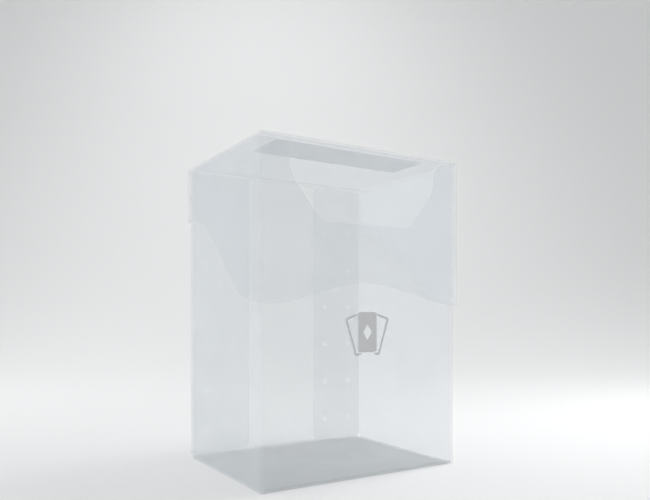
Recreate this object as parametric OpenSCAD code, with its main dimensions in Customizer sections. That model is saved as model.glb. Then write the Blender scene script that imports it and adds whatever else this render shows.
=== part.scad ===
// Flip-top deck box for sleeved cards, folded and spot-welded from one frosted polypropylene sheet.
// Every panel, fold and weld of the sheet is its own sub-part. The lid turns on the living hinge.
// Origin: centre of the base, on the surface the box stands on. Front towards -Y, +Z up, millimetres.

/* [Box] */
// Outer width of the box body, left to right
body_w = 70; // [60:0.5:90]
// Outer depth of the box body, front to back
body_d = 54.8; // [40:0.2:80]
// Height over the closed lid
box_h = 98.8; // [96:0.2:110]
// Thickness of the sheet
sheet_t = 0.6; // [0.5:0.05:0.8]
// Outer radius of every fold
fold_r = 1.2; // [1.1:0.1:1.6]
// Air left between the top of the walls and the lid
lid_clear = 0.9; // [0.8:0.1:1.5]

/* [Thumb cut] */
// Height of the bottom of the thumb cut
cut_low = 75.6; // [66:0.2:80]
// Width of the cut along its bottom
cut_low_w = 32.6; // [24:0.2:36]
// Width of the cut between the ears
cut_ear_w = 53; // [44:0.5:54]
// Height at which the sides of the cut turn upright
cut_ear_z = 88.6; // [86:0.2:90]
// Radius of the ears
ear_r = 4.8; // [3:0.2:5]

/* [Back seam] */
// Width of the flaps welded inside the back panel
weld_flap_w = 21.4; // [18:0.2:26]
// Diameter of one weld spot
weld_d = 1.8; // [1.5:0.1:3]
// Inset of the outer column of welds from the side of the box
weld_inset = 5.3; // [4:0.1:6]
// Distance between the two columns of welds
weld_pitch_x = 10.7; // [8:0.1:11]
// Distance between the rows of welds
weld_pitch_z = 14.4; // [12:0.2:15]
// Height of the lowest row of welds
weld_first_z = 8.6; // [6:0.2:12]

/* [Lid] */
// Air between the lid's flaps and the walls
lid_gap = 0.35; // [0.3:0.05:0.6]
// Height of the lid's lower edge at its front corners
lip_corner_z = 51.8; // [46:0.2:56]
// Height of the lid's lower edge at the middle of the front
lip_middle_z = 58; // [52:0.2:66]
// Height of the lid's lower edge at the hinge
lip_back_z = 80; // [70:0.5:88]
// Bend of the side flaps' curve towards the back
lip_bend = 1.15; // [1:0.05:1.4]
// Lid opening shown, in degrees
lid_open = 0; // [0:1:260]

/* [Print and label] */
// Length of the blank title label on the lid
label_w = 54.6; // [30:0.2:60]
// Width of the label, front to back
label_d = 16.4; // [10:0.2:20]
// Distance of the label from the front of the box
label_inset = 6.25; // [4:0.25:10]
// Width of one printed card of the emblem
emblem_card_w = 6.8; // [5:0.2:8]
// Height of one printed card of the emblem
emblem_card_h = 12; // [9:0.25:14]
// Height of the middle of the emblem
emblem_z = 43.6; // [30:0.2:45]

/* [Hidden] */
lid_out = lid_gap + sheet_t;               // how far the lid stands proud of the body
front_y = (lid_out - body_d) / 2;          // outer face of the front panel
back_y = front_y + body_d;                 // outer face of the back panel
side_x = body_w / 2;                       // outer face of a side wall
wall_top = box_h - sheet_t - lid_clear;    // top edge of the walls
inner_r = fold_r - sheet_t;                // inner radius of a fold
lid_x = side_x + lid_out;                  // outer face of a lid side flap
lid_y = front_y - lid_out;                 // outer face of the lid's front flap
base_fit = 0.15;                           // play between the bottom panel and each side wall
base_x = side_x - sheet_t - base_fit;      // half width of the bottom panel
flap_low = fold_r + 0.3;                   // lower edge of a weld flap
web_t = 0.35;                              // thickness of the living hinge
web_end = 0.5;                             // hinge relief at each side of the box
web_gap = 0.05;                            // score line between hinge and lid
weld_rise = 0.12;                          // height of a weld spot
weld_rows = 6;                             // rows of weld spots on a flap
label_t = 0.1;                             // thickness of the label
label_r = 1.2;                             // corner radius of the label
print_t = 0.05;                            // thickness of the printed emblem
print_line = 0.7;                          // line width of the emblem
print_tilt = 18;                           // angle between the emblem's cards
print_spread = 3;                          // sideways step between the emblem's cards
curve_steps = 28;                          // steps along a curved edge
$fn = 64;

SHEET = [0.86, 0.90, 0.93, 0.6];
FOLD = [0.93, 0.95, 0.97, 0.7];
WELD = [0.97, 0.98, 0.99, 0.8];
PRINT = [0.66, 0.68, 0.70];
LABEL = [0.72, 0.76, 0.79, 0.85];

// ---- outlines ----

function unit(v) = v / norm(v);

// Points of the arc of radius r that rounds the corner b between a and c
function corner_arc(a, b, c, r, steps = 8) =
    let (
        to_a = unit(a - b),
        to_c = unit(c - b),
        half = acos(to_a * to_c) / 2,
        centre = b + unit(to_a + to_c) * r / sin(half),
        start = b + to_a * r / tan(half) - centre,
        stop = b + to_c * r / tan(half) - centre,
        first = atan2(start.y, start.x),
        sweep = (atan2(stop.y, stop.x) - first + 540) % 360 - 180
    )
    [for (i = [0:steps]) centre + r * [cos(first + sweep * i / steps), sin(first + sweep * i / steps)]];

// Outline through corners given as [x, y, radius]
function rounded(corners) =
    let (n = len(corners))
    [for (i = [0:n - 1])
        let (
            a = corners[(i + n - 1) % n],
            b = corners[i],
            c = corners[(i + 1) % n]
        )
        each b[2] > 0
            ? corner_arc([a.x, a.y], [b.x, b.y], [c.x, c.y], b[2])
            : [[b.x, b.y]]];

function card_corners(w, h, r) =
    [[-w / 2, -h / 2, r], [w / 2, -h / 2, r], [w / 2, h / 2, r], [-w / 2, h / 2, r]];

// Height of the lid's front lower edge, from its corners up to its middle
function front_lip(x) =
    lip_corner_z + (lip_middle_z - lip_corner_z) * (1 - cos(180 * (1 - abs(x) / lid_x))) / 2;

// Height of a side flap's lower edge, from the front corner up to the hinge
function side_lip(y) =
    let (t = pow(min(1, (y - lid_y) / (back_y - lid_y - 6)), lip_bend))
    lip_corner_z + (lip_back_z - lip_corner_z) * (1 - cos(180 * t)) / 2;

// ---- repeated shapes ----

// Flat plate standing in the XZ plane, its outline drawn in x and z, its front face at y
module upright(y, t) {
    translate([0, y + t, 0]) rotate([90, 0, 0]) linear_extrude(t) children();
}

// Flat plate standing in the YZ plane, its outline drawn in y and z, its left face at x
module sideways(x, t) {
    translate([x, 0, 0]) rotate([90, 0, 90]) linear_extrude(t) children();
}

// Quarter of a ring in the first quadrant
module quarter_ring(inner, outer) {
    intersection() {
        difference() {
            circle(outer);
            circle(inner);
        }
        square(outer);
    }
}

// Fold along Z, its centre at the origin, bulging towards -X and -Y
module upright_fold(low, high) {
    translate([0, 0, low]) rotate([0, 0, 180]) linear_extrude(high - low) quarter_ring(inner_r, fold_r);
}

// Fold along X, its centre at the origin, bulging towards +Y and +Z
module cross_fold(half_w, inner, outer) {
    translate([-half_w, 0, 0]) rotate([90, 0, 90]) linear_extrude(2 * half_w) quarter_ring(inner, outer);
}

module mirrored_x(right) {
    if (right) mirror([1, 0, 0]) children();
    else children();
}

// ---- box body ----

// The panel is solid beside and below the cut; its upper edge runs ear, cut, ear
module front_panel() {
    half = side_x - fold_r;
    low = cut_low_w / 2;
    ear = cut_ear_w / 2;
    outline = rounded([
        [-half, fold_r, 0],
        [half, fold_r, 0],
        [half, wall_top, 0.6],
        [ear, wall_top, ear_r],
        [ear, cut_ear_z, 5],
        [low, cut_low, 2.4],
        [-low, cut_low, 2.4],
        [-ear, cut_ear_z, 5],
        [-ear, wall_top, ear_r],
        [-half, wall_top, 0.6]
    ]);
    color(SHEET) upright(front_y, sheet_t) polygon(outline);
}

module back_panel() {
    color(SHEET) translate([-side_x, back_y - sheet_t, fold_r])
        cube([body_w, sheet_t, box_h - 2 * fold_r]);
}

module bottom_panel() {
    color(SHEET) translate([-base_x, front_y + fold_r, 0])
        cube([2 * base_x, body_d - 2 * fold_r, sheet_t]);
}

module side_wall(right) {
    color(SHEET) mirrored_x(right) translate([-side_x, front_y + fold_r, 0])
        cube([sheet_t, body_d - sheet_t - 2 * fold_r, wall_top]);
}

module weld_flap(right) {
    outline = rounded([
        [-side_x + fold_r, flap_low, 0],
        [-side_x + weld_flap_w, flap_low, 2],
        [-side_x + weld_flap_w, wall_top, 2],
        [-side_x + fold_r, wall_top, 0]
    ]);
    color(SHEET) mirrored_x(right) upright(back_y - 2 * sheet_t, sheet_t) polygon(outline);
}

// Two columns of spots, and one more between them in the middle of the height
module weld_spots(right) {
    columns = [0, weld_pitch_x];
    spots = concat(
        [for (dx = columns, row = [0:weld_rows - 1]) [dx, row * weld_pitch_z]],
        [[weld_pitch_x / 2, 3.5 * weld_pitch_z]]
    );
    color(WELD) mirrored_x(right)
        for (spot = spots)
            translate([weld_inset - side_x + spot.x, back_y - 2 * sheet_t, weld_first_z + spot.y])
                rotate([90, 0, 0]) cylinder(d = weld_d, h = weld_rise);
}

module front_fold(right) {
    color(FOLD) mirrored_x(right) translate([fold_r - side_x, front_y + fold_r, 0])
        upright_fold(0, wall_top);
}

module rear_fold(right) {
    color(FOLD) mirrored_x(right) translate([fold_r - side_x, back_y - sheet_t - fold_r, 0])
        mirror([0, 1, 0]) upright_fold(flap_low, wall_top);
}

module bottom_front_fold() {
    color(FOLD) translate([0, front_y + fold_r, fold_r]) rotate([180, 0, 0])
        cross_fold(side_x - fold_r, inner_r, fold_r);
}

module bottom_rear_fold() {
    color(FOLD) translate([0, back_y - fold_r, fold_r]) mirror([0, 0, 1])
        cross_fold(base_x, inner_r, fold_r);
}

// Thin web at the outside of the bend, which joins the back panel to the lid
module living_hinge() {
    color(FOLD) translate([0, back_y - fold_r, box_h - fold_r])
        cross_fold(side_x - web_end, fold_r - web_t, fold_r);
}

// One card of the fan, turned about its lower end
module emblem_card(step, grow) {
    translate([step * print_spread, -abs(step) * 0.5]) rotate(-step * print_tilt)
        polygon(rounded(card_corners(emblem_card_w + grow, emblem_card_h + grow, 0.9 + grow / 2)));
}

// Fan of three playing cards: two in outline, and a solid one in front with a blank diamond
module front_emblem() {
    color(PRINT) translate([0, 0, emblem_z]) upright(front_y - print_t, print_t) {
        for (step = [-1, 1])
            difference() {
                emblem_card(step, 0);
                emblem_card(step, -2 * print_line);
                emblem_card(0, print_line);
            }
        difference() {
            emblem_card(0, 0);
            scale([0.65, 1]) circle(emblem_card_h / 5, $fn = 4);
        }
    }
}

// ---- lid ----

module lid_top() {
    low_y = lid_y + fold_r;
    color(SHEET) translate([fold_r - lid_x, low_y, box_h - sheet_t])
        cube([2 * (lid_x - fold_r), back_y - fold_r - web_gap - low_y, sheet_t]);
}

module lid_front_flap() {
    half = lid_x - fold_r;
    outline = concat(
        [[half, box_h - fold_r], [-half, box_h - fold_r]],
        [for (i = [0:curve_steps]) let (x = half * (2 * i / curve_steps - 1)) [x, front_lip(x)]]
    );
    color(SHEET) upright(lid_y, sheet_t) polygon(outline);
}

module lid_side_flap(right) {
    low_y = lid_y + fold_r;
    outline = concat(
        [[back_y, box_h - fold_r], [low_y, box_h - fold_r]],
        [for (i = [0:curve_steps]) let (y = low_y + (back_y - low_y) * i / curve_steps) [y, side_lip(y)]]
    );
    color(SHEET) mirrored_x(right) sideways(-lid_x, sheet_t) polygon(outline);
}

module lid_front_fold() {
    color(FOLD) translate([0, lid_y + fold_r, box_h - fold_r]) mirror([0, 1, 0])
        cross_fold(lid_x - fold_r, inner_r, fold_r);
}

module lid_side_fold(right) {
    color(FOLD) mirrored_x(right)
        translate([fold_r - lid_x, back_y, box_h - fold_r]) rotate([90, 0, 0])
            linear_extrude(back_y - lid_y - fold_r) mirror([1, 0]) quarter_ring(inner_r, fold_r);
}

// Welded corner between the front flap and a side flap, closed by a rounded tip at the top
module lid_corner(right) {
    color(FOLD) mirrored_x(right) translate([fold_r - lid_x, lid_y + fold_r, 0]) {
        upright_fold(lip_corner_z, box_h - fold_r);
        translate([0, 0, box_h - fold_r]) rotate([0, 0, 180]) rotate_extrude(angle = 90)
            quarter_ring(inner_r, fold_r);
    }
}

module lid_label() {
    color(LABEL) translate([0, front_y + label_inset + label_d / 2, box_h])
        linear_extrude(label_t) polygon(rounded(card_corners(label_w, label_d, label_r)));
}

// Turns the lid about the outer corner of the living hinge
module on_hinge() {
    translate([0, back_y, box_h]) rotate([-lid_open, 0, 0]) translate([0, -back_y, -box_h]) children();
}

front_panel();
back_panel();
bottom_panel();
side_wall(false);  // left_wall
side_wall(true);  // right_wall
weld_flap(false);  // left_weld_flap
weld_flap(true);  // right_weld_flap
weld_spots(false);  // left_weld_spots
weld_spots(true);  // right_weld_spots
front_fold(false);  // front_left_fold
front_fold(true);  // front_right_fold
rear_fold(false);  // rear_left_fold
rear_fold(true);  // rear_right_fold
bottom_front_fold();
bottom_rear_fold();
living_hinge();
front_emblem();
on_hinge() lid_top();
on_hinge() lid_front_flap();
on_hinge() lid_side_flap(false);  // lid_left_flap
on_hinge() lid_side_flap(true);  // lid_right_flap
on_hinge() lid_front_fold();
on_hinge() lid_side_fold(false);  // lid_left_fold
on_hinge() lid_side_fold(true);  // lid_right_fold
on_hinge() lid_corner(false);  // lid_left_corner
on_hinge() lid_corner(true);  // lid_right_corner
on_hinge() lid_label();
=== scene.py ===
import math
import bmesh
import bpy
from mathutils import Matrix, Vector


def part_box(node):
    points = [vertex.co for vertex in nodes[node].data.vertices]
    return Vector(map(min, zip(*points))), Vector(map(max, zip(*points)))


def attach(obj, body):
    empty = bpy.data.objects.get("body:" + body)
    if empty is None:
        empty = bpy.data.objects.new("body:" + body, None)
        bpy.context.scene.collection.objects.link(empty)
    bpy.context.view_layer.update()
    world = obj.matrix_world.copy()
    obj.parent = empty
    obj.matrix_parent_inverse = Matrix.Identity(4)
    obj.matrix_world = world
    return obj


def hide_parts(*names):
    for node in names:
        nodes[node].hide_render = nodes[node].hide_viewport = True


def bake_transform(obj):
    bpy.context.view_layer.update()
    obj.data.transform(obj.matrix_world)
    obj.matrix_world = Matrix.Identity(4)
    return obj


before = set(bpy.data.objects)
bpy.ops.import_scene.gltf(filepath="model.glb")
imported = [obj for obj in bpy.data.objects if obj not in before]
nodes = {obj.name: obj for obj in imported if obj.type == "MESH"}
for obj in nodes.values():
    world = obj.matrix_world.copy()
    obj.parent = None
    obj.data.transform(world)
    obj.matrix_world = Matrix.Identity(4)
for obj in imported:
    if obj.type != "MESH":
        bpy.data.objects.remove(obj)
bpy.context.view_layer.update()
mm = 0.001

print("frame loaded:", len(nodes), "nodes")

# where the sheet lies, and the radii of its folds
frontLow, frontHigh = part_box("front_panel")
backLow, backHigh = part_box("back_panel")
baseLow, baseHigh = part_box("bottom_panel")
topLow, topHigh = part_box("lid_top")
lidFrontLow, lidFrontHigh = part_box("lid_front_flap")
sheetThick = frontHigh.y - frontLow.y
foldOuter = frontLow.z
foldInner = foldOuter - sheetThick
sideX = backHigh.x
lidX = -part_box("lid_left_corner")[0].x
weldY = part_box("left_weld_spots")[1].y


# what light does on the sheet, its edges, folds, welds, label and print
sheetFinish = {
    "colour": (0.80, 0.838, 0.862, 1),
    "clear": 0.882,           # light that one face lets straight through, seen head on
    "slant": 0.52,            # past this cosine a slanting view gets no hazier
    "roughness": 0.36,
    "glow": 0.5,              # share of the haze that lights up from behind
    "cloud": 0.012,           # how much the haze varies over the sheet
    "wear": 0.18,             # how much rougher the scuffed parts are
    "hairline": 0.99,         # light let through by a hairline scratch
    "ior": 1.49,
}
edgeFinish = dict(sheetFinish, colour=(0.82, 0.85, 0.87, 1), clear=0.81, slant=1, roughness=0.42)
# the folds are tinted darker than the flat sheet: painted shade along the creases
foldFinishPaintedShade = dict(sheetFinish, colour=(0.74, 0.77, 0.79, 1), clear=0.87, slant=0.6, roughness=0.30)
# the bottom panel and its folds are tinted much darker: painted contact shadow where the box stands on the
# floor
baseFoldFinishPaintedShadow = dict(foldFinishPaintedShade, colour=(0.40, 0.43, 0.45, 1))
baseFinishPaintedShadow = dict(sheetFinish, colour=(0.42, 0.45, 0.47, 1), clear=0.88, roughness=0.40)
fusedFinish = dict(sheetFinish, clear=0.908, slant=1, roughness=0.16)
weldFinish = dict(sheetFinish, colour=(0.985, 0.99, 0.99, 1), clear=0.93, slant=1, roughness=0.16)
labelFinish = dict(sheetFinish, colour=(0.52, 0.55, 0.57, 1), clear=0.68, slant=1, roughness=0.42, glow=0.4)
sheetTexture = {
    # repeats per metre, detail and roughness of each noise
    "cloud": (55, 4, 0.6),
    "grain": (5200, 2, 0.6),
    "swell": (30, 1, 0.4),
    "scuff": (240, 5, 0.75),
    "hairlines": (900, 3, 0.6),
    "hairlineTurn": (0.5, 0.3, 0),
    "hairlineStretch": 0.02,
    # strength and height of the bump
    "grainBump": (0.10, 0.02 * mm),
    "swellBump": (0.06, 0.6 * mm),
}
printInk = {"light": (0.66, 0.67, 0.68, 1), "dark": (0.56, 0.57, 0.58, 1), "grain": 2600}


def newMaterial(name):
    material = bpy.data.materials.new(name)
    material.use_nodes = True
    tree = material.node_tree
    tree.nodes.clear()
    return material, tree


def objectCoords(tree):
    return tree.nodes.new("ShaderNodeTexCoord").outputs["Object"]


def toSurface(tree, shader):
    output = tree.nodes.new("ShaderNodeOutputMaterial")
    tree.links.new(shader.outputs[0], output.inputs["Surface"])


def mixShaders(tree, share, first, second):
    mix = tree.nodes.new("ShaderNodeMixShader")
    if isinstance(share, float):
        mix.inputs[0].default_value = share
    else:
        tree.links.new(share, mix.inputs[0])
    tree.links.new(first.outputs[0], mix.inputs[1])
    tree.links.new(second.outputs[0], mix.inputs[2])
    return mix


def mathNode(tree, operation, first, second):
    node = tree.nodes.new("ShaderNodeMath")
    node.operation = operation
    for socket, value in zip(node.inputs, (first, second)):
        if isinstance(value, (int, float)):
            socket.default_value = value
        else:
            tree.links.new(value, socket)
    return node.outputs[0]


def noiseOf(tree, coords, scale, detail, roughness):
    noise = tree.nodes.new("ShaderNodeTexNoise")
    noise.inputs["Scale"].default_value = scale
    noise.inputs["Detail"].default_value = detail
    noise.inputs["Roughness"].default_value = roughness
    tree.links.new(coords, noise.inputs["Vector"])
    return noise.outputs["Fac"]


def hairlinesOf(tree, coords):
    # faint hairlines: thin bands of a long stretched noise
    mapping = tree.nodes.new("ShaderNodeMapping")
    mapping.inputs["Rotation"].default_value = sheetTexture["hairlineTurn"]
    mapping.inputs["Scale"].default_value = (1, 1, sheetTexture["hairlineStretch"])
    tree.links.new(coords, mapping.inputs["Vector"])
    return noiseOf(tree, mapping.outputs[0], *sheetTexture["hairlines"])


def rangeOf(tree, value, low, high, toLow, toHigh):
    node = tree.nodes.new("ShaderNodeMapRange")
    limits = (("From Min", low), ("From Max", high), ("To Min", toLow), ("To Max", toHigh))
    for name, number in limits:
        node.inputs[name].default_value = number
    tree.links.new(value, node.inputs["Value"])
    return node.outputs["Result"]


def bumpOf(tree, height, strength, distance, before=None):
    bump = tree.nodes.new("ShaderNodeBump")
    bump.inputs["Strength"].default_value = strength
    bump.inputs["Distance"].default_value = distance
    tree.links.new(height, bump.inputs["Height"])
    if before:
        tree.links.new(before, bump.inputs["Normal"])
    return bump.outputs[0]


def frostedMaterial(name, finish):
    # each face passes some light straight on and turns the rest into haze, more of it at a slant
    material, tree = newMaterial(name)
    coords = objectCoords(tree)
    cloud, grain, swell, scuff = (noiseOf(tree, coords, *sheetTexture[part])
                                  for part in ("cloud", "grain", "swell", "scuff"))

    least, most = finish["clear"] - finish["cloud"], finish["clear"] + finish["cloud"]
    clear = rangeOf(tree, cloud, 0.3, 0.7, least, most)
    facing = tree.nodes.new("ShaderNodeLayerWeight").outputs["Facing"]
    cosine = mathNode(tree, "MAXIMUM", mathNode(tree, "SUBTRACT", 1, facing), finish["slant"])
    through = mathNode(tree, "POWER", clear, mathNode(tree, "DIVIDE", 1, cosine))
    scratched = rangeOf(tree, hairlinesOf(tree, coords), 0.70, 0.78, 1, finish["hairline"])
    through = mathNode(tree, "MULTIPLY", through, scratched)

    normal = bumpOf(tree, grain, *sheetTexture["grainBump"])
    normal = bumpOf(tree, swell, *sheetTexture["swellBump"], normal)
    rough = rangeOf(tree, scuff, 0.3, 0.75, finish["roughness"], finish["roughness"] + finish["wear"])
    plastic = tree.nodes.new("ShaderNodeBsdfPrincipled")
    plastic.inputs["Base Color"].default_value = finish["colour"]
    plastic.inputs["IOR"].default_value = finish["ior"]
    tree.links.new(rough, plastic.inputs["Roughness"])
    tree.links.new(normal, plastic.inputs["Normal"])
    milk = tree.nodes.new("ShaderNodeBsdfTranslucent")
    milk.inputs["Color"].default_value = finish["colour"]
    tree.links.new(normal, milk.inputs["Normal"])
    haze = mixShaders(tree, finish["glow"], plastic, milk)
    passing = tree.nodes.new("ShaderNodeBsdfTransparent")
    toSurface(tree, mixShaders(tree, through, haze, passing))
    return material


def jointMaterial(name):
    # where two panels run on into each other, nothing is seen
    material, tree = newMaterial(name)
    toSurface(tree, tree.nodes.new("ShaderNodeBsdfTransparent"))
    return material


def inkMaterial(name, ink):
    material, tree = newMaterial(name)
    grain = noiseOf(tree, objectCoords(tree), ink["grain"], 3, 0.6)
    ramp = tree.nodes.new("ShaderNodeValToRGB")
    stops = ((0.3, ink["dark"]), (0.7, ink["light"]))
    for element, (place, colour) in zip(ramp.color_ramp.elements, stops):
        element.position = place
        element.color = colour
    tree.links.new(grain, ramp.inputs["Fac"])
    paint = tree.nodes.new("ShaderNodeBsdfPrincipled")
    tree.links.new(ramp.outputs["Color"], paint.inputs["Base Color"])
    tree.links.new(rangeOf(tree, grain, 0.3, 0.7, 0.38, 0.52), paint.inputs["Roughness"])
    tree.links.new(bumpOf(tree, grain, 0.2, 0.01 * mm), paint.inputs["Normal"])
    toSurface(tree, paint)
    return material


frostedSheet = frostedMaterial("frostedSheet", sheetFinish)
cutEdge = frostedMaterial("cutEdge", edgeFinish)
# the fold material carries the painted shade along the creases
foldedSheetPaintedShade = frostedMaterial("foldedSheetPaintedShade", foldFinishPaintedShade)
# the bottom folds and the bottom panel carry the painted contact shadow
baseFoldedPaintedShadow = frostedMaterial("baseFoldedPaintedShadow", baseFoldFinishPaintedShadow)
baseSheetPaintedShadow = frostedMaterial("baseSheetPaintedShadow", baseFinishPaintedShadow)
fusedSheet = frostedMaterial("fusedSheet", fusedFinish)
weldButton = frostedMaterial("weldButton", weldFinish)
labelFilm = frostedMaterial("labelFilm", labelFinish)
silverInk = inkMaterial("silverInk", printInk)
runOn = jointMaterial("runOn")
print("materials made")


meshDetail = {
    "softAngle": 25,           # degrees up to which a bend is shaded softly
    "cornerSteps": 8,
    "foldSteps": 12,
    "spotSteps": 20,           # sides of a fused spot in the sheet
    "buttonSteps": 28,         # sides of a weld's button
    "bowGrid": 5 * mm,
    "rim": 0.12 * mm,          # softening of a cut edge
}


def finishPiece(bm, name, materials, body, node):
    # body is a name, or a bend: (one body, the other, where the bend starts, where it ends); a bend's
    # values are not used, and such a piece is joined to no body
    softAngle = math.radians(meshDetail["softAngle"])
    for edge in bm.edges:
        edge.smooth = edge.calc_face_angle(0) < softAngle
    for face in bm.faces:
        face.smooth = True
    mesh = bpy.data.meshes.new(name)
    bm.to_mesh(mesh)
    bm.free()
    piece = bpy.data.objects.new(name, mesh)
    bpy.context.scene.collection.objects.link(piece)
    for material in materials:
        mesh.materials.append(material)
    if isinstance(body, tuple):
        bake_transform(piece)
    else:
        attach(piece, body)
    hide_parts(node)


def outlineFace(corners, spots=(), spotRadius=0):
    # one flat face through the corners (across, up, radius), each corner rounded by its own bevel
    bm = bmesh.new()
    points = [bm.verts.new((across, up, 0)) for across, up, _ in corners]
    bm.faces.new(points)
    for point, (_, _, radius) in zip(points, corners):
        if radius > 0:
            bmesh.ops.bevel(bm, geom=[point], offset=radius, offset_type="OFFSET", affect="VERTICES",
                            segments=meshDetail["cornerSteps"], profile=0.5, material=-1)
    if spots:
        # round spots let into the face, each a face of its own
        bmesh.ops.delete(bm, geom=bm.faces[:], context="FACES_ONLY")
        rings = [bmesh.ops.create_circle(bm, segments=meshDetail["spotSteps"], radius=spotRadius,
                                         matrix=Matrix.Translation((across, up, 0)))["verts"]
                 for across, up in spots]
        bmesh.ops.triangle_fill(bm, edges=bm.edges[:], use_beauty=True, normal=(0, 0, 1))
        for ring in rings:
            inner = [f for f in bm.faces if all(v in ring for v in f.verts)]
            if inner:
                bmesh.ops.delete(bm, geom=inner, context="FACES_ONLY")
            bm.faces.new(ring).material_index = 3
    return bm


def drawOut(bm, way):
    # thicken an open sheet of faces into a closed solid
    made = bmesh.ops.extrude_face_region(bm, geom=bm.faces[:], use_keep_orig=True)
    bmesh.ops.translate(bm, verts=[g for g in made["geom"] if isinstance(g, bmesh.types.BMVert)], vec=way)
    bmesh.ops.recalc_face_normals(bm, faces=bm.faces[:])


def scoreGrid(bm, low, high, step):
    # score the flat face into a grid, so that it can bow
    for axis, normal in ((0, Vector((1, 0, 0))), (1, Vector((0, 1, 0)))):
        count = max(1, round((high[axis] - low[axis]) / step))
        for i in range(1, count):
            bmesh.ops.bisect_plane(bm, geom=bm.verts[:] + bm.edges[:] + bm.faces[:], dist=1e-7,
                                   plane_co=normal * (low[axis] + (high[axis] - low[axis]) * i / count),
                                   plane_no=normal)


def sheetPiece(corners, place, name, body, node, runsOn="", bow=0,
               thick=sheetThick, sheet=frostedSheet, spots=()):
    # an outline with the sheet's thickness; runsOn names the sides (l r d u) that meet a fold
    bm = outlineFace(corners, spots, weldSpot["radius"])
    xs, ys = [v.co.x for v in bm.verts], [v.co.y for v in bm.verts]
    low, high = Vector((min(xs), min(ys), 0)), Vector((max(xs), max(ys), 0))
    if bow:
        scoreGrid(bm, low, high, meshDetail["bowGrid"])
    drawOut(bm, (0, 0, thick))

    sides = {"l": (0, low.x), "r": (0, high.x), "d": (1, low.y), "u": (1, high.y)}
    for face in bm.faces:
        centre = face.calc_center_median()
        flat = abs(face.normal.z) > 0.5
        meets = any(abs(centre[sides[s][0]] - sides[s][1]) < 1e-6 for s in runsOn)
        fused = flat and face.material_index == 3
        face.material_index = 3 if fused else 0 if flat else 2 if meets else 1
    rimEdges = [e for e in bm.edges if len(e.link_faces) == 2
                and sorted(f.material_index for f in e.link_faces) == [0, 1]]
    bmesh.ops.bevel(bm, geom=rimEdges, offset=meshDetail["rim"], offset_type="OFFSET", affect="EDGES",
                    segments=2, profile=0.5, material=1)
    if bow:
        middle, reach = (low + high) / 2, (high - low) / 2
        for vert in bm.verts:
            across = (vert.co.x - middle.x) / reach.x
            up = (vert.co.y - middle.y) / reach.y
            vert.co.z += bow * max(0, 1 - across ** 2) * max(0, 1 - up ** 2)
    bmesh.ops.transform(bm, matrix=place, verts=bm.verts[:])
    if place.determinant() < 0:
        bmesh.ops.reverse_faces(bm, faces=bm.faces[:])
    finishPiece(bm, name, [sheet, cutEdge, runOn, fusedSheet], body, node)


def upright(y):
    # across is X, up is Z, and the thickness runs back from y
    return Matrix(((1, 0, 0, 0), (0, 0, 1, y), (0, 1, 0, 0), (0, 0, 0, 1)))


def sideways(x, outward):
    # across is Y, up is Z, and the thickness runs outward from x
    return Matrix(((0, 0, outward, x), (1, 0, 0, 0), (0, 1, 0, 0), (0, 0, 0, 1)))


def level(z):
    return Matrix.Translation((0, 0, z))


def plainCorners(low, high, across, up, radius=0):
    return [(low[across], low[up], radius), (high[across], low[up], radius),
            (high[across], high[up], radius), (low[across], high[up], radius)]


# folds take the darker fold tint by default: painted shade along the creases
def foldPiece(name, node, body, centre, start, axis, low, high, inner=foldInner, sheet=foldedSheetPaintedShade):
    # a quarter ring from the direction start, turned about axis, and drawn out from low to high
    axis, start, centre = Vector(axis), Vector(start), Vector(centre)
    bm = bmesh.new()
    ring = [bm.verts.new(centre + axis * low + start * inner),
            bm.verts.new(centre + axis * low + start * foldOuter)]
    edge = bm.edges.new(ring)
    bmesh.ops.spin(bm, geom=ring + [edge], cent=centre + axis * low, axis=axis, angle=math.pi / 2,
                   steps=meshDetail["foldSteps"])
    drawOut(bm, axis * (high - low))
    finish = axis.cross(start)
    for face in bm.faces:
        outward = face.calc_center_median() - centre
        outward -= axis * outward.dot(axis)
        capped = abs(face.normal.dot(axis)) > 0.9
        meets = not capped and min(abs(outward.dot(start)), abs(outward.dot(finish))) < 1e-6
        face.material_index = 1 if capped else 2 if meets else 0
    finishPiece(bm, name, [sheet, cutEdge, runOn], body, node)


thumbCut = {
    "low": 75.6 * mm,          # bottom of the cut
    "lowWidth": 32.6 * mm,
    "earWidth": 53 * mm,
    "earHeight": 88.6 * mm,    # where the sides turn upright
    "earRadius": 4.8 * mm,
    "bendRadius": 3 * mm,
    "cornerRadius": 2.4 * mm,
}
bodyShape = {
    "wallBow": 0.12 * mm,      # the side walls belly out a little between their folds
    "baseBow": 0.10 * mm,
    "flapCorner": 2 * mm,
    "weldGap": 0.03 * mm,      # air between a weld flap and the back panel
    "webThick": 0.35 * mm,     # the living hinge
}
weldSpot = {
    "radius": 0.9 * mm,
    "rise": 0.12 * mm,         # height of the button
    "taper": 0.8,              # radius of the button's top, as a share of its foot
    "lip": 0.2,                # width of the flat rim round the dimple, as a share of the radius
    "slope": 0.25,             # and of the slope down into it
    "dimple": 0.07 * mm,       # how deep its middle is sunk
    "inset": 5.3 * mm,         # from the side wall to the first column
    "pitchAcross": 10.7 * mm,
    "pitchUp": 14.4 * mm,
    "firstUp": 8.6 * mm,
    "rows": 6,
    "oddRow": 3.5,             # where the single weld between the columns sits
}


def weldPlaces(sign):
    # two columns of welds and one more between them
    columns = [(column * weldSpot["pitchAcross"], row * weldSpot["pitchUp"])
               for column in (0, 1) for row in range(weldSpot["rows"])]
    columns.append((weldSpot["pitchAcross"] / 2, weldSpot["oddRow"] * weldSpot["pitchUp"]))
    return [(sign * (sideX - weldSpot["inset"] - across), weldSpot["firstUp"] + up)
            for across, up in columns]


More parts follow.
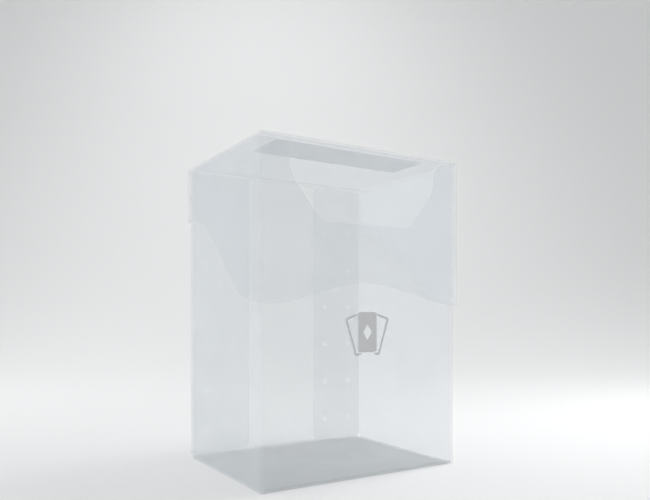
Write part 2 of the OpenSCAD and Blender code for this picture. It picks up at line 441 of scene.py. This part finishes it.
def makeFrontPanel():
    half, top = frontHigh.x, frontHigh.z
    right = [
        (half, top, 0),
        (thumbCut["earWidth"] / 2, top, thumbCut["earRadius"]),
        (thumbCut["earWidth"] / 2, thumbCut["earHeight"], thumbCut["bendRadius"]),
        (thumbCut["lowWidth"] / 2, thumbCut["low"], thumbCut["cornerRadius"]),
    ]
    left = [(-x, z, r) for x, z, r in reversed(right)]
    corners = [(-half, frontLow.z, 0), (half, frontLow.z, 0)] + right + left
    sheetPiece(corners, upright(frontLow.y), "frontPanel", "box", "front_panel", "lrd")


def makeWalls():
    sheetPiece(plainCorners(backLow, backHigh, 0, 2), upright(backLow.y),
               "backPanel", "box", "back_panel", "d", spots=weldPlaces(-1) + weldPlaces(1))
    # the bottom panel's dark tint is painted contact shadow from the floor
    sheetPiece(plainCorners(baseLow, baseHigh, 0, 1), level(0),
               "bottomPanel", "box", "bottom_panel", "du", bodyShape["baseBow"], sheet=baseSheetPaintedShadow)
    for side, outward in (("left", -1), ("right", 1)):
        low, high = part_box(side + "_wall")
        inside = high.x if outward < 0 else low.x
        sheetPiece(plainCorners(low, high, 1, 2), sideways(inside, outward),
                   side + "Wall", "box", side + "_wall", "lr", bodyShape["wallBow"])
        low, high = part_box(side + "_weld_flap")
        outer, inner = (low.x, high.x) if outward < 0 else (high.x, low.x)
        corner = bodyShape["flapCorner"]
        outline = [(outer, low.z, 0), (inner, low.z, corner), (inner, high.z, corner), (outer, high.z, 0)]
        sheetPiece(outline, upright(low.y), side + "WeldFlap", "box", side + "_weld_flap", side[0],
                   thick=sheetThick - bodyShape["weldGap"], spots=weldPlaces(outward))


def makeBodyFolds():
    for side, outward in (("left", -1), ("right", 1)):
        wallLow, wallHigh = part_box(side + "_wall")
        x = outward * (sideX - foldOuter)
        across = (outward, 0, 0)
        for end, y, turn in (("front", wallLow.y, outward), ("rear", wallHigh.y, -outward)):
            low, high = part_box(end + "_" + side + "_fold")
            # turned about Z from the wall's side to the front or the back
            foldPiece(end + side.capitalize() + "Fold", end + "_" + side + "_fold", "box",
                      (x, y, 0), across, (0, 0, -turn), -turn * low.z, -turn * high.z)
    for end in ("front", "rear"):
        # the bottom folds take the dark tint: painted contact shadow along the foot
        low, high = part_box("bottom_" + end + "_fold")
        y = low.y + foldOuter if end == "front" else high.y - foldOuter
        turn = 1 if end == "front" else -1
        foldPiece("bottom" + end.capitalize() + "Fold", "bottom_" + end + "_fold", "box",
                  (0, y, foldOuter), (0, 0, -1), (-turn, 0, 0), low.x, high.x, sheet=baseFoldedPaintedShadow)
    low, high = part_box("living_hinge")
    bend = ("box", "lid", (0, high.y, high.z - foldOuter), (0, high.y - foldOuter, high.z))
    foldPiece("livingHinge", "living_hinge", bend, (0, high.y - foldOuter, high.z - foldOuter),
              (0, 0, 1), (-1, 0, 0), low.x, high.x, inner=foldOuter - bodyShape["webThick"])


makeFrontPanel()
makeWalls()
makeBodyFolds()
print("box body made")


def makeWeldSpots(name, node, sign):
    # each weld is a low button with a sunk middle
    radius, rise = weldSpot["radius"], weldSpot["rise"]
    bm = bmesh.new()
    for x, z in weldPlaces(sign):
        place = Matrix.Translation((x, weldY, z)) @ Matrix.Rotation(math.pi / 2, 4, "X")
        made = bmesh.ops.create_cone(bm, cap_ends=True, segments=meshDetail["buttonSteps"],
                                     radius1=radius, radius2=radius * weldSpot["taper"], depth=rise,
                                     matrix=place @ Matrix.Translation((0, 0, rise / 2)))
        face = min((f for v in made["verts"] for f in v.link_faces if len(f.verts) > 4),
                   key=lambda f: f.calc_center_median().y)
        for share in (weldSpot["lip"], weldSpot["slope"]):
            bmesh.ops.inset_individual(bm, faces=[face], thickness=radius * share)
        bmesh.ops.translate(bm, verts=list(face.verts), vec=(0, weldSpot["dimple"], 0))
    bmesh.ops.recalc_face_normals(bm, faces=bm.faces[:])
    for face in bm.faces:
        face.material_index = 0 if face.normal.y < -0.5 else 1
    finishPiece(bm, name, [weldButton, runOn], "box", node)


makeWeldSpots("leftWeldSpots", "left_weld_spots", -1)
makeWeldSpots("rightWeldSpots", "right_weld_spots", 1)
print("welds made")


lidLip = {
    "corner": 51.8 * mm,      # height of the lower edge at the front corners
    "middle": 58 * mm,        # in the middle of the front
    "back": 80 * mm,          # and at the hinge
    "bend": 1.15,
    "level": 6 * mm,          # length that runs level at the hinge
    "steps": 48,
}
labelFit = {
    "cornerRadius": 1.2 * mm,
    "airGap": 0.01 * mm,      # between the label and the lid
}


def frontLip(x):
    rise = (1 - math.cos(math.pi * (1 - abs(x) / lidX))) / 2
    return lidLip["corner"] + (lidLip["middle"] - lidLip["corner"]) * rise


def sideLip(y):
    length = backHigh.y - lidFrontLow.y - lidLip["level"]
    along = min(1, (y - lidFrontLow.y) / length) ** lidLip["bend"]
    rise = (1 - math.cos(math.pi * along)) / 2
    return lidLip["corner"] + (lidLip["back"] - lidLip["corner"]) * rise


def lipCorners(low, high, top, lip):
    steps = lidLip["steps"]
    along = [low + (high - low) * i / steps for i in range(steps + 1)]
    return [(at, lip(at), 0) for at in along] + [(high, top, 0), (low, top, 0)]


def makeLidPanels():
    sheetPiece(plainCorners(topLow, topHigh, 0, 1), level(topLow.z), "lidTop", "lid", "lid_top", "lrd")
    low, high = lidFrontLow, lidFrontHigh
    sheetPiece(lipCorners(low.x, high.x, high.z, frontLip), upright(low.y),
               "lidFrontFlap", "lid", "lid_front_flap", "lru")
    for side, outward in (("left", -1), ("right", 1)):
        low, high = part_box("lid_" + side + "_flap")
        inside = high.x if outward < 0 else low.x
        sheetPiece(lipCorners(low.y, high.y, high.z, sideLip), sideways(inside, outward),
                   "lid" + side.capitalize() + "Flap", "lid", "lid_" + side + "_flap", "lu")


def makeLidFolds():
    low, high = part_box("lid_front_fold")
    foldPiece("lidFrontFold", "lid_front_fold", "lid", (0, low.y + foldOuter, high.z - foldOuter),
              (0, -1, 0), (-1, 0, 0), low.x, high.x)
    for side, outward in (("left", -1), ("right", 1)):
        low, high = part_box("lid_" + side + "_fold")
        x, z = outward * (lidX - foldOuter), high.z - foldOuter
        foldPiece("lid" + side.capitalize() + "Fold", "lid_" + side + "_fold", "lid",
                  (x, 0, z), (outward, 0, 0), (0, -outward, 0), -outward * low.y, -outward * high.y)


def makeLidCorner(name, node, outward):
    # the corner's profile, turned a quarter about an upright line and closed to a tip
    low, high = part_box(node)
    bm = bmesh.new()
    base = high.z - foldOuter
    angles = [math.pi / 2 * i / 10 for i in range(11)]
    outline = [(foldOuter * math.cos(a), base + foldOuter * math.sin(a)) for a in angles]
    inside = [(foldInner * math.cos(a), base + foldInner * math.sin(a)) for a in reversed(angles)]
    profile = [(foldInner, low.z), (foldOuter, low.z)] + outline + inside
    centre = Vector((outward * (lidX - foldOuter), low.y + foldOuter, 0))
    verts = [bm.verts.new(centre + Vector((outward * max(r, 0), 0, z))) for r, z in profile]
    face = bm.faces.new(verts)
    edges = list(face.edges)
    bmesh.ops.delete(bm, geom=[face], context="FACES_ONLY")
    spun = bmesh.ops.spin(bm, geom=verts + edges, cent=centre, axis=(0, 0, -outward), angle=math.pi / 2,
                          steps=meshDetail["foldSteps"])
    lastEdges = [g for g in spun["geom_last"] if isinstance(g, bmesh.types.BMEdge)]
    for loop in (lastEdges, edges):
        bmesh.ops.contextual_create(bm, geom=loop)
    bmesh.ops.remove_doubles(bm, verts=bm.verts[:], dist=1e-6)
    bmesh.ops.dissolve_degenerate(bm, edges=bm.edges[:], dist=1e-7)
    bmesh.ops.recalc_face_normals(bm, faces=bm.faces[:])
    for face in bm.faces:
        closing = len(face.verts) > 8
        lowest = face.normal.z < -0.9 and face.calc_center_median().z < low.z + 0.01 * mm
        face.material_index = 2 if closing else 1 if lowest else 0
    # the lid corner takes the fold tint with its painted shade
    finishPiece(bm, name, [foldedSheetPaintedShade, cutEdge, runOn], "lid", node)


def makeLabel():
    low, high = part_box("lid_label")
    bm = outlineFace(plainCorners(low, high, 0, 1, labelFit["cornerRadius"]))
    drawOut(bm, (0, 0, high.z - low.z - labelFit["airGap"]))
    bmesh.ops.translate(bm, verts=bm.verts[:], vec=(0, 0, low.z + labelFit["airGap"]))
    finishPiece(bm, "lidLabel", [labelFilm], "lid", "lid_label")


makeLidPanels()
makeLidFolds()
makeLidCorner("lidLeftCorner", "lid_left_corner", -1)
makeLidCorner("lidRightCorner", "lid_right_corner", 1)
makeLabel()
nodes["front_emblem"].data.materials.clear()
nodes["front_emblem"].data.materials.append(silverInk)
print("lid made")


studio = {
    "cameraPlace": (-111.86 * mm, -181.8 * mm, 48.68 * mm),
    "cameraTurn": 32.03,
    "lens": 35.30,
    "shiftUp": 0.1002,
    "sweepStart": 0.26,        # behind the box, where the paper starts to curve up
    "sweepRadius": 0.30,
    "sweepSteps": 24,
    "paperReach": 9,           # how far the paper runs to each side and to the front
    "paperHeight": 2,
    "paperColour": (0.87, 0.872, 0.872, 1),
}
room = {"all": 0.600, "top": 0.096, "colour": (0.985, 0.992, 1.0, 1)}
# places across, away from the camera and up, in metres
lamps = {
    "wallGlow": {
        "place": (-0.08, 0.1, 0.62), "aim": (-0.08, 0.56, 0.1),
        "cone": 90, "power": 4.225, "soft": 0.12,
    },
    "keyRight": {
        "place": (0.42, 0.25, 0.5), "aim": (0.0, 0.0, 0.0),
        "cone": 60, "power": 3.352, "soft": 0.12,
    },
    "sideRight": {
        "place": (0.33, 0.02, 0.22), "aim": (0.0, 0.0, 0.05),
        "cone": 50, "power": 0.9289, "soft": 0.1,
    },
    "lowRight": {
        "place": (0.356, 0.2225, 0.08), "aim": (0.0, 0.0, 0.06),
        "cone": 44, "power": 2.095, "soft": 0.05,
    },
    "floorRight": {
        "place": (0.38, 0.16, 0.6), "aim": (0.3, 0.1, 0.0),
        "cone": 60, "power": 8.781, "soft": 0.2,
    },
    "floorLeft": {
        "place": (-0.3, 0.1, 0.6), "aim": (-0.3, 0.1, 0.0),
        "cone": 60, "power": 6.316, "soft": 0.2,
    },
}


def turned(place):
    # a place given across and away from the camera's view, from the middle of the box
    angle = math.radians(studio["cameraTurn"])
    across, away, up = place
    return Vector((across * math.cos(angle) + away * math.sin(angle),
                   away * math.cos(angle) - across * math.sin(angle), up))


def makeCamera():
    data = bpy.data.cameras.new("camera")
    camera = bpy.data.objects.new("camera", data)
    bpy.context.scene.collection.objects.link(camera)
    camera.location = studio["cameraPlace"]
    camera.rotation_euler = (math.pi / 2, 0, -math.radians(studio["cameraTurn"]))
    data.lens = studio["lens"]
    data.sensor_width = 36
    data.shift_y = studio["shiftUp"]
    data.clip_start = 0.005
    bpy.context.scene.camera = camera


def makeBackdrop():
    # paper on the floor that sweeps up behind the box
    start, radius, reach = studio["sweepStart"], studio["sweepRadius"], studio["paperReach"]
    bm = bmesh.new()
    front = [bm.verts.new((-reach, -reach, 0)), bm.verts.new((reach, -reach, 0))]
    drawn = bmesh.ops.extrude_edge_only(bm, edges=[bm.edges.new(front)])["geom"]
    verts = [g for g in drawn if isinstance(g, bmesh.types.BMVert)]
    bmesh.ops.translate(bm, verts=verts, vec=(0, reach + start, 0))
    edge = [g for g in drawn if isinstance(g, bmesh.types.BMEdge) and all(v in verts for v in g.verts)]
    last = bmesh.ops.spin(bm, geom=verts + edge, cent=(0, start, radius), axis=(1, 0, 0),
                          angle=math.pi / 2, steps=studio["sweepSteps"])["geom_last"]
    edge = [g for g in last if isinstance(g, bmesh.types.BMEdge)]
    drawn = bmesh.ops.extrude_edge_only(bm, edges=edge)["geom"]
    verts = [g for g in drawn if isinstance(g, bmesh.types.BMVert)]
    bmesh.ops.translate(bm, verts=verts, vec=(0, 0, studio["paperHeight"]))
    turn = Matrix.Rotation(-math.radians(studio["cameraTurn"]), 4, "Z")
    bmesh.ops.transform(bm, matrix=turn, verts=bm.verts[:])
    bmesh.ops.recalc_face_normals(bm, faces=bm.faces[:])
    for face in bm.faces:
        face.smooth = True
    mesh = bpy.data.meshes.new("backdrop")
    bm.to_mesh(mesh)
    bm.free()
    backdrop = bpy.data.objects.new("backdrop", mesh)
    bpy.context.scene.collection.objects.link(backdrop)
    material, tree = newMaterial("palePaper")
    paper = tree.nodes.new("ShaderNodeBsdfPrincipled")
    paper.inputs["Base Color"].default_value = studio["paperColour"]
    paper.inputs["Roughness"].default_value = 0.75
    paper.inputs["Specular IOR Level"].default_value = 0.15
    toSurface(tree, paper)
    mesh.materials.append(material)


def lightStudio():
    # an even room, a little brighter overhead
    world = bpy.data.worlds.new("softRoom")
    world.use_nodes = True
    tree = world.node_tree
    background = tree.nodes["Background"]
    background.inputs["Color"].default_value = room["colour"]
    dot = tree.nodes.new("ShaderNodeVectorMath")
    dot.operation = "DOT_PRODUCT"
    tree.links.new(tree.nodes.new("ShaderNodeTexCoord").outputs["Generated"], dot.inputs[0])
    dot.inputs[1].default_value = (0, 0, 1)
    overhead = mathNode(tree, "MAXIMUM", dot.outputs["Value"], 0)
    strength = mathNode(tree, "ADD", mathNode(tree, "MULTIPLY", overhead, room["top"]), room["all"])
    tree.links.new(strength, background.inputs["Strength"])
    bpy.context.scene.world = world
    for name, lamp in lamps.items():
        data = bpy.data.lights.new(name, "SPOT")
        data.energy = lamp["power"]
        data.spot_size = math.radians(lamp["cone"])
        data.spot_blend = 1.0
        data.shadow_soft_size = lamp["soft"]
        light = bpy.data.objects.new(name, data)
        bpy.context.scene.collection.objects.link(light)
        light.location = turned(lamp["place"])
        aim = turned(lamp["place"]) - turned(lamp["aim"])
        light.rotation_euler = aim.to_track_quat("Z", "Y").to_euler()


makeCamera()
makeBackdrop()
lightStudio()
scene = bpy.context.scene
scene.view_settings.view_transform = "Standard"
scene.cycles.transparent_max_bounces = 48
scene.cycles.max_bounces = 12
print("studio made")
